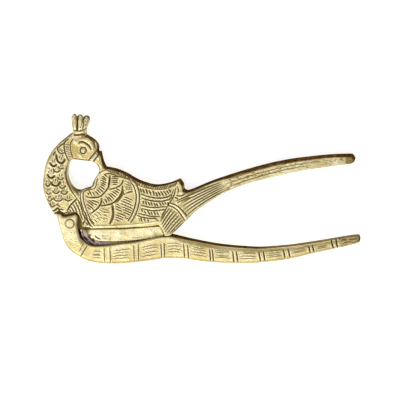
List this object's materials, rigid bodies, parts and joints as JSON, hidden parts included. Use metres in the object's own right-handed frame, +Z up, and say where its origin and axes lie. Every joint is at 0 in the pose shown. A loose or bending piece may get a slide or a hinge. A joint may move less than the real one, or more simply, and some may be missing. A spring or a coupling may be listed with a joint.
{
  "type": "betel nut cutter",
  "caption": "Cast-brass hand cutter: a peacock-shaped upper lever with a let-in steel blade swings on a riveted pivot and shears into the channel of the lower lever.",
  "frame": {"origin": "centre of the closed cutter's bounding box, on the surface that it lies on", "axes": "the cutter lies flat: +X along its length from the peacock's chest to the handle ends, +Y from the lower lever towards the crest, +Z up out of the chased face"},
  "size_m": [0.191, 0.0916, 0.0092],
  "materials": {
    "lower_brass": "cast and chased, hand-worn, satin, with dark tarnish in the engraving and along the edges",
    "peacock_brass": "cast and chased, worn bright on the high spots, with olive-brown tarnish in the grooves and dark brown side walls",
    "blade_steel": "old carbon steel, dull grey with a purple-brown stain",
    "rivet_brass": "plain drawn brass",
    "pin_brass": "peened and worn bright"
  },
  "bodies": {
    "lower": {"lower_lever": "lower_brass", "pivot_pin": "pin_brass"},
    "upper": {"peacock_lever": "peacock_brass", "cutting_blade": "blade_steel", "blade_rivets": "rivet_brass"}
  },
  "joints": [
    {"name": "pivot", "type": "hinge", "parent": "lower", "child": "upper", "pos_m": [-0.07957, -0.02051, 0.0046], "axis": [0, 0, 1], "range_deg": [0, 32]}
  ]
}
